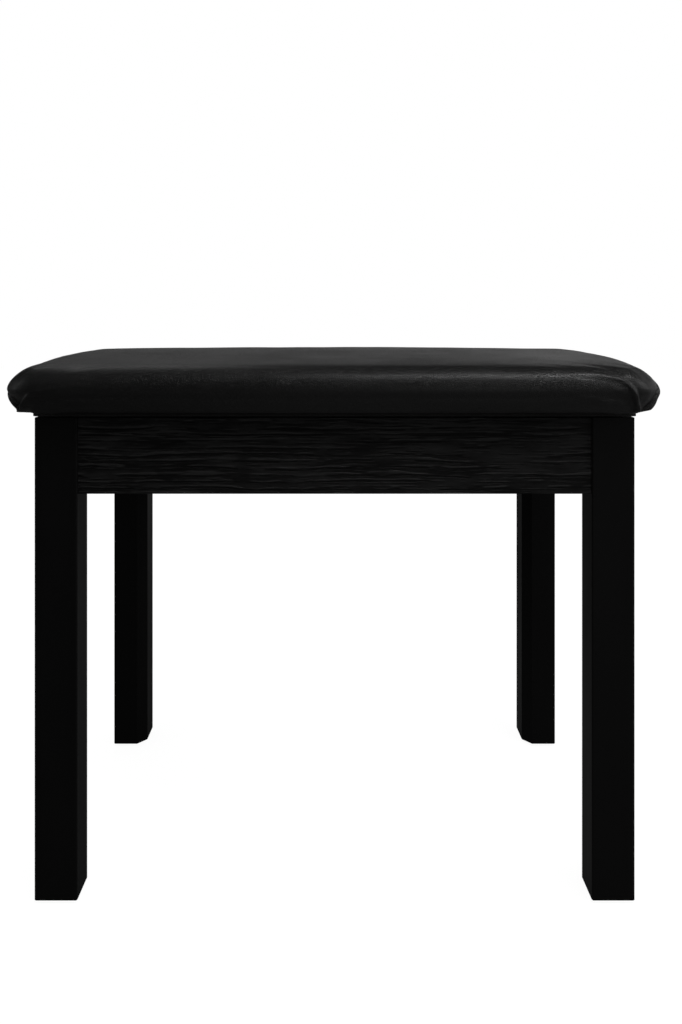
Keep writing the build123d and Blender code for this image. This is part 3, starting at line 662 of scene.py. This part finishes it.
class BENCH_OT_seat(bpy.types.Operator):
    """Makes the padded seat: a filled cover with a rolled edge and two pleats at each corner"""
    bl_idname = "bench.seat"
    bl_label = "Padded seat"

    def execute(self, context):
        settings = context.scene.bench_seat
        mesh = sewing_blank(settings.voxel)
        fit_to_cover(mesh, settings.slack)
        seat = bpy.data.objects.new("seat_padding", mesh)
        context.scene.collection.objects.link(seat)
        fill_with_foam(seat, settings)
        bm = bmesh.new()
        bm.from_mesh(mesh)
        bmesh.ops.subdivide_edges(bm, edges=bm.edges, cuts=1, use_grid_fill=True, smooth=0.6)
        for reach in (16 * MM, 9 * MM):
            refine(bm, reach)
        ease_surface(bm)
        draw_corners(bm, settings)
        fold_pleats(bm, settings)
        settle_underside(bm)
        bmesh.ops.recalc_face_normals(bm, faces=bm.faces)
        for face in bm.faces:
            face.smooth = True
        bm.to_mesh(mesh)
        bm.free()
        mesh.materials.clear()
        mesh.materials.append(pebbled_leatherette())
        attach(seat, "lid")
        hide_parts("seat_cover", "seat_foam")
        paint(("seat_board",), raw_wood("raw_poplar_plywood", "#c9a877", "#a98557"))
        return {"FINISHED"}


# ---- Wood ------------------------------------------------------------------------------

class BENCH_OT_wood(bpy.types.Operator):
    """Finishes the legs, aprons, dowels, bottom panel and lid lining"""
    bl_idname = "bench.wood"
    bl_label = "Wooden frame"

    def execute(self, context):
        paint(("leg_front", "leg_rear"), satin_lacquer())
        paint(("apron_front", "apron_rear"), brushed_wood("black_brushed_ash_long", "X"))
        paint(("apron_left", "apron_right"), brushed_wood("black_brushed_ash_cross", "Y"))
        paint(("apron_dowels",), raw_wood("raw_beech_dowel", "#c79e6b", "#a87c4c"))
        paint(("bottom_panel", "lid_lining"), faced_fibreboard())
        return {"FINISHED"}


# ---- Metal and plastic -----------------------------------------------------------------

# Which way the metal was drawn, as the stretch of its grain.
ALL_WAYS, ALONG_X, ALONG_Y, ALONG_Z = (1, 1, 1), (0.05, 1, 1), (1, 0.05, 1), (1, 1, 0.2)


class BENCH_OT_fittings(bpy.types.Operator):
    """Finishes the hinge, lid stays, corner brackets, wing nuts, glides and bumpers"""
    bl_idname = "bench.fittings"
    bl_label = "Fittings"

    def execute(self, context):
        brass = brushed_metal("brass_plated_steel", "#cdae68", 0.5, ALONG_X, 0.34, "#b4924c")
        steel = brushed_metal("drawn_steel_pin", "#a9a8a4", 0.3, ALONG_X, 0.35)
        zinc = brushed_metal("zinc_plated_steel", "#a8aaa8", 0.8, ALONG_Z, 0.42, "#8d9090")
        nickel = brushed_metal("nickel_plated_steel", "#b3aea3", 0.5, ALONG_Y, 0.3, "#9a958a")
        paint(("hinge_leaf",), brass)
        paint(("hinge_pin",), steel)
        paint(("corner_bracket", "bolt_washers", "wing_nut"), zinc)
        paint(("stay_arm", "stay_track_left", "stay_track_right"), nickel)
        paint(("stay_bracket_left", "stay_bracket_right", "stay_rivet"), nickel)
        paint(("stay_slider",), moulded("moulded_white_nylon", "#d8d5c9", 0.45))
        paint(("foot_glide",), moulded("moulded_black_nylon", "#141414", 0.5))
        paint(("lid_bumpers",), moulded("soft_black_rubber", "#101010", 0.8, specular=0.2))
        return {"FINISHED"}


# ---- Screws and bolts ------------------------------------------------------------------

SIDES = 32  # of every round shank
THREAD_STEPS = 24  # in one turn of a thread
SHARP_ANGLE = radians(38)
NEXT_TURN = 137.5  # degrees from one fastener's recess to the next one's, so that none line up
# A pan head from its flat top to its seat, in shares of the head's radius and height.
PAN_PROFILE = ((0.55, 1.0), (0.8, 0.84), (0.95, 0.5), (1.0, 0.15), (1.0, 0.0))


def loose_parts(node):
    """The corners of each separate solid in a CAD node."""
    bm = bmesh.new()
    bm.from_mesh(NODES[node].data)
    bmesh.ops.remove_doubles(bm, verts=bm.verts, dist=0.001 * MM)
    seen = set()
    parts = []
    for first in bm.verts:
        if first in seen:
            continue
        seen.add(first)
        part = [first]
        for vertex in part:
            fresh = {edge.other_vert(vertex) for edge in vertex.link_edges} - seen
            seen |= fresh
            part += sorted(fresh, key=lambda other: other.index)
        parts.append([vertex.co.copy() for vertex in part])
    bm.free()
    return parts


def middle_and_size(points):
    """The middle and the size of the box round some points."""
    low = Vector([min(point[i] for point in points) for i in range(3)])
    high = Vector([max(point[i] for point in points) for i in range(3)])
    return (low + high) / 2, high - low


def screw_places(node):
    """The seat of each screw's head in a CAD node, the way out of the wood and the length below it."""
    places = []
    for points in loose_parts(node):
        middle, size = middle_and_size(points)
        along = max(range(3), key=lambda i: size[i])
        axis = Vector([1.0 if i == along else 0.0 for i in range(3)])
        widest = max(points, key=lambda point: round((point - middle).cross(axis).length, 6))
        out = -axis if widest[along] < middle[along] else axis
        seat = middle + axis * (widest - middle).dot(axis)
        tip = middle - out * size[along] / 2
        places.append((seat, out, (tip - seat).length))
    return places


def bolt_places(node):
    """The buried end, the way out of the leg and the length of each bolt set across a corner."""
    places = []
    for points in loose_parts(node):
        middle = middle_and_size(points)[0]
        side_x, side_y = signs(middle)
        out = Vector((-side_x, -side_y, 0)).normalized()
        reach = [(point - middle).dot(out) for point in points]
        places.append((middle + out * min(reach), out, max(reach) - min(reach)))
    return places


def draw_rings(bm, rim, rings):
    """Extrudes an open rim through rings of radius and height, and closes it at the last."""
    for (radius, level), (out, up) in zip(rings, rings[1:]):
        ring = bmesh.ops.extrude_edge_only(bm, edges=rim)["geom"]
        corners = [item for item in ring if isinstance(item, bmesh.types.BMVert)]
        rim = [item for item in ring if isinstance(item, bmesh.types.BMEdge)]
        bmesh.ops.scale(bm, verts=corners, vec=(out / radius, out / radius, 1.0))
        bmesh.ops.translate(bm, verts=corners, vec=(0, 0, up - level))
    bmesh.ops.edgeloop_fill(bm, edges=rim)


def finished(bm, name):
    """The bmesh as a mesh with smooth faces and sharp corners."""
    bmesh.ops.recalc_face_normals(bm, faces=bm.faces)
    for face in bm.faces:
        face.smooth = True
    mesh = bpy.data.meshes.new(name)
    bm.to_mesh(mesh)
    bm.free()
    mesh.set_sharp_from_angle(angle=SHARP_ANGLE)
    return mesh


def threaded_rod(settings, length):
    """A bolt from its buried end at the origin up, with a rolled thread at its free end."""
    outer, pitch = settings.bolt, settings.pitch
    inner = outer - 0.61 * pitch
    root = inner - 0.02 * MM
    turns = int(settings.thread / pitch) - 1
    start = length - settings.thread
    bm = bmesh.new()
    bmesh.ops.create_circle(bm, cap_ends=True, segments=SIDES, radius=outer)
    rim = [edge for edge in bm.edges if edge.is_boundary]
    draw_rings(bm, rim, [
        (outer, 0), (outer, start - pitch / 2), (inner, start),
        (inner, length - pitch / 2), (inner - 0.4 * pitch, length),
    ])
    ridge = ((root, 0), (outer, 0.4), (root, 0.8))
    profile = [bm.verts.new((radius, 0, start + pitch * up)) for radius, up in ridge]
    first = bm.faces.new(profile)
    last = bmesh.ops.spin(
        bm, geom=profile + first.edges[:], cent=(0, 0, 0), axis=(0, 0, 1),
        dvec=(0, 0, pitch / THREAD_STEPS), angle=2 * pi * turns, steps=THREAD_STEPS * turns)["geom_last"]
    bm.faces.new([item for item in last if isinstance(item, bmesh.types.BMVert)])
    return finished(bm, "threaded_rod")


def wood_screw(settings, length, pan):
    """One wood screw with its seat at the origin, driven down, as a mesh: a pan or countersunk head
    with a cross recess that narrows as it goes in, a plain shank and a point."""
    head, shank, height = settings.head, settings.shank, settings.height
    if pan:
        top = height
        rings = [(head * out, height * up) for out, up in PAN_PROFILE] + [(shank, 0.0)]
    else:
        top = 0.0
        rings = [(head - 0.15 * MM, 0.0), (head, -0.12 * MM), (shank, -height)]
    rings += [(shank, settings.point - length), (shank / 4, -length)]
    bm = bmesh.new()
    bmesh.ops.create_circle(bm, cap_ends=True, segments=SIDES, radius=rings[0][0])
    half, span = settings.slot_width / 2, settings.slot_span / 2
    for across in (Vector((1, 0, 0)), Vector((0, 1, 0))):
        for offset in (-span, -half, half, span):
            bmesh.ops.bisect_plane(
                bm, geom=bm.verts[:] + bm.edges[:] + bm.faces[:], plane_co=across * offset, plane_no=across)
    rim = [edge for edge in bm.edges if edge.is_boundary]
    cross = []
    for face in bm.faces:
        from_middle = [abs(way) for way in face.calc_center_median()[:2]]
        if max(from_middle) < span and min(from_middle) < half:
            cross.append(face)
    sunk = bmesh.ops.extrude_face_region(bm, geom=cross)["geom"]
    bottom = [item for item in sunk if isinstance(item, bmesh.types.BMVert)]
    bmesh.ops.scale(bm, verts=bottom, vec=(0.6, 0.6, 1.0))
    bmesh.ops.translate(bm, verts=bottom, vec=(0, 0, -settings.slot_depth))
    bmesh.ops.delete(bm, geom=[face for face in cross if face.is_valid], context="FACES_ONLY")
    bmesh.ops.translate(bm, verts=bm.verts, vec=(0, 0, top))
    draw_rings(bm, rim, rings)
    return finished(bm, "wood_screw")


def set_all(single, places, name):
    """Copies of one fastener, each with its Z axis along its place's way out, as one mesh."""
    bm = bmesh.new()
    for turn, (seat, out, _) in enumerate(places):
        start = len(bm.verts)
        bm.from_mesh(single)
        bm.verts.ensure_lookup_table()
        turned = Matrix.Rotation(radians(NEXT_TURN * turn), 4, "Z")
        set_there = Matrix.Translation(seat) @ out.to_track_quat("Z", "Y").to_matrix().to_4x4()
        bmesh.ops.transform(bm, matrix=set_there @ turned, verts=bm.verts[start:])
    mesh = bpy.data.meshes.new(name)
    bm.to_mesh(mesh)
    bm.free()
    bpy.data.meshes.remove(single)
    return mesh


class BENCH_OT_fasteners(bpy.types.Operator):
    """Drives a wood screw with a cross recess and sets a threaded bolt wherever the frame has one"""
    bl_idname = "bench.fasteners"
    bl_label = "Screws and bolts"

    def execute(self, context):
        settings = context.scene.bench_fasteners
        brass = brushed_metal("brass_plated_screw", "#c8a75e", 0.4, ALL_WAYS, 0.32, "#ab8a45")
        zinc = brushed_metal("zinc_plated_screw", "#9b9c9a", 0.4, ALL_WAYS, 0.36, "#7f807e")
        for node in sorted(name for name in NODES if "screws" in name or name == "leg_bolts"):
            if node == "leg_bolts":
                places = bolt_places(node)
                single = threaded_rod(settings, places[0][2])
            else:
                places = screw_places(node)
                single = wood_screw(settings, places[0][2], node == "bracket_screws")
            name = node + "_set"
            metal = brass if node.startswith("hinge") else zinc
            mesh = set_all(single, places, name)
            piece = new_piece(name, mesh, metal, body_of(NODES[node])[0])
            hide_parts(node)
        return {"FINISHED"}


# ---- Stage -----------------------------------------------------------------------------

# Each lamp's width and height in metres, its place, what it is aimed at and its power in watts.
LAMPS = {
    "overhead": ((0.9, 0.14), (0.48, -0.55, 1.75), (0.2, -0.1, 0.45), 10.8),
    "right": ((0.9, 1.2), (1.7, -0.5, 1.1), (0, 0, 0.4), 10),
    "front_right": ((0.5, 0.7), (0.3, -1.6, 0.5), (0.05, -0.16, 0.44), 1.0),
    "rear_left": ((0.8, 0.8), (-0.62, 0.9, 1.53), (-0.2, -0.14, 0.48), 1.7),
    "left": ((0.9, 1.2), (-1.7, -0.2, 0.9), (0, 0, 0.35), 2.4),
}


def soft_lamp(name, size, place_at, look_at, watts):
    """A square-cornered soft lamp aimed at a point."""
    light = bpy.data.lights.new(name, "AREA")
    light.shape = "RECTANGLE"
    light.size, light.size_y = size
    light.energy = watts
    lamp = bpy.data.objects.new(name, light)
    lamp.location = place_at
    lamp.rotation_euler = (Vector(look_at) - Vector(place_at)).to_track_quat("-Z", "Y").to_euler()
    bpy.context.scene.collection.objects.link(lamp)


# How much the wall behind the bench shows in reflections, by the way a ray goes: the axis, where the
# change starts and ends, and the share before and after it.
WALL_FADES = (("Y", -0.2, 0.7, 0.08, 0.5), ("Z", 0.30, 0.42, 1.0, 0.1), ("X", -0.6, 0.5, 0.1, 0.95))
# The same for the floor, by the distance across it in metres.
FLOOR_FADE = (-0.4, 0.0, 0.005, 0.1)
PAPER_GLOW = 0.95  # to the camera, so that the shadow shows on white


def mirror_rays(tree):
    """1 for rays that show in a reflection or through glass, 0 for others."""
    path = add(tree, "ShaderNodeLightPath").outputs
    return add(tree, "ShaderNodeMath", {"operation": "MAXIMUM"}, {
        0: path["Is Glossy Ray"], 1: path["Is Transmission Ray"],
    })


def white_world(settings):
    """White to the camera and behind the bench in reflections, dim above and in front, even
    light from all round on the object."""
    world = bpy.data.worlds.new("studio")
    world.use_nodes = True
    tree = world.node_tree
    background = tree.nodes["Background"]
    background.inputs["Color"].default_value = (*settings.background, 1)
    camera = add(tree, "ShaderNodeLightPath").outputs["Is Camera Ray"]
    way = add(tree, "ShaderNodeSeparateXYZ", inputs={
        "Vector": add(tree, "ShaderNodeTexCoord").outputs["Generated"],
    })
    wall = 1.0
    for axis, start, end, before, after in WALL_FADES:
        fade = add(tree, "ShaderNodeMapRange", {"interpolation_type": "SMOOTHSTEP"}, {
            "Value": way.outputs[axis], "From Min": start, "From Max": end,
            "To Min": before, "To Max": after,
        })
        wall = add(tree, "ShaderNodeMath", {"operation": "MULTIPLY"}, {0: wall, 1: fade})
    soft = add(tree, "ShaderNodeMix", {"data_type": "FLOAT"}, {
        "Factor": mirror_rays(tree), 2: settings.ambient, 3: wall,
    })
    level = add(tree, "ShaderNodeMix", {"data_type": "FLOAT"}, {"Factor": camera, 2: soft, 3: 1.0})
    tree.links.new(level.outputs[0], background.inputs["Strength"])
    bpy.context.scene.world = world


def paper_floor(settings):
    """A paper floor that is white to the camera and keeps the bench's soft shadow, and so dark
    otherwise that it throws little light up at the bench."""
    bm = bmesh.new()
    bmesh.ops.create_grid(bm, x_segments=1, y_segments=1, size=settings.floor_size / 2)
    mesh = bpy.data.meshes.new("floor")
    bm.to_mesh(mesh)
    bm.free()
    floor = bpy.data.objects.new("floor", mesh)
    bpy.context.scene.collection.objects.link(floor)
    material = bpy.data.materials.new("white_paper")
    material.use_nodes = True
    tree = material.node_tree
    tree.nodes.clear()
    paper = add(tree, "ShaderNodeBsdfDiffuse", inputs={"Color": linear("#4b4b4b")})
    across = add(tree, "ShaderNodeSeparateXYZ", inputs={
        "Vector": add(tree, "ShaderNodeTexCoord").outputs["Object"],
    })
    start, end, before, after = FLOOR_FADE
    fade = add(tree, "ShaderNodeMapRange", {"interpolation_type": "SMOOTHSTEP"}, {
        "Value": across.outputs["X"], "From Min": start, "From Max": end, "To Min": before, "To Max": after,
    })
    mirrored = add(tree, "ShaderNodeMath", {"operation": "MULTIPLY"}, {0: mirror_rays(tree), 1: fade})
    strength = add(tree, "ShaderNodeMath", {"operation": "MULTIPLY_ADD"}, {
        0: add(tree, "ShaderNodeLightPath").outputs["Is Camera Ray"], 1: PAPER_GLOW, 2: mirrored,
    })
    glow = add(tree, "ShaderNodeEmission", inputs={"Strength": strength})
    both = add(tree, "ShaderNodeAddShader", inputs={0: paper, 1: glow})
    add(tree, "ShaderNodeOutputMaterial", inputs={"Surface": both})
    mesh.materials.append(material)


class BENCH_OT_stage(bpy.types.Operator):
    """Sets the floor, the lamps, the world and the camera"""
    bl_idname = "bench.stage"
    bl_label = "Stage"

    def execute(self, context):
        settings = context.scene.bench_stage
        scene = context.scene
        scene.view_settings.view_transform = "Standard"
        white_world(settings)
        paper_floor(settings)
        for name, lamp in LAMPS.items():
            soft_lamp(name, *lamp)
        camera = bpy.data.cameras.new("camera")
        camera.lens = settings.lens
        camera.shift_x = settings.shift_across
        camera.shift_y = settings.shift_up
        eye = bpy.data.objects.new("camera", camera)
        eye.location = (0, -settings.camera_distance, settings.camera_height)
        eye.rotation_euler = (radians(90), 0, 0)
        scene.collection.objects.link(eye)
        scene.camera = eye
        return {"FINISHED"}


# ---- Panel and registration -------------------------------------------------------------

class BENCH_PT_panel(bpy.types.Panel):
    """Lists the bench's sizes and the steps that dress it"""
    bl_idname = "BENCH_PT_panel"
    bl_label = "Piano bench"
    bl_space_type = "VIEW_3D"
    bl_region_type = "UI"
    bl_category = "Piano bench"

    def draw(self, context):
        layout = self.layout
        for group in (context.scene.bench_seat, context.scene.bench_fasteners, context.scene.bench_stage):
            for key in group.__annotations__:
                layout.prop(group, key)
        for operator in OPERATORS:
            layout.operator(operator.bl_idname)


GROUPS = (SeatSizes, FastenerSizes, StageSizes)
OPERATORS = (BENCH_OT_stage, BENCH_OT_seat, BENCH_OT_wood, BENCH_OT_fittings, BENCH_OT_fasteners)


def register():
    for item in GROUPS + OPERATORS + (BENCH_PT_panel,):
        bpy.utils.register_class(item)
    bpy.types.Scene.bench_seat = PointerProperty(type=SeatSizes)
    bpy.types.Scene.bench_fasteners = PointerProperty(type=FastenerSizes)
    bpy.types.Scene.bench_stage = PointerProperty(type=StageSizes)


def unregister():
    del bpy.types.Scene.bench_stage
    del bpy.types.Scene.bench_fasteners
    del bpy.types.Scene.bench_seat
    for item in reversed(GROUPS + OPERATORS + (BENCH_PT_panel,)):
        bpy.utils.unregister_class(item)


def main():
    register()
    bpy.ops.bench.stage()
    bpy.ops.bench.seat()
    bpy.ops.bench.wood()
    bpy.ops.bench.fittings()
    bpy.ops.bench.fasteners()


if __name__ == "__main__":
    main()
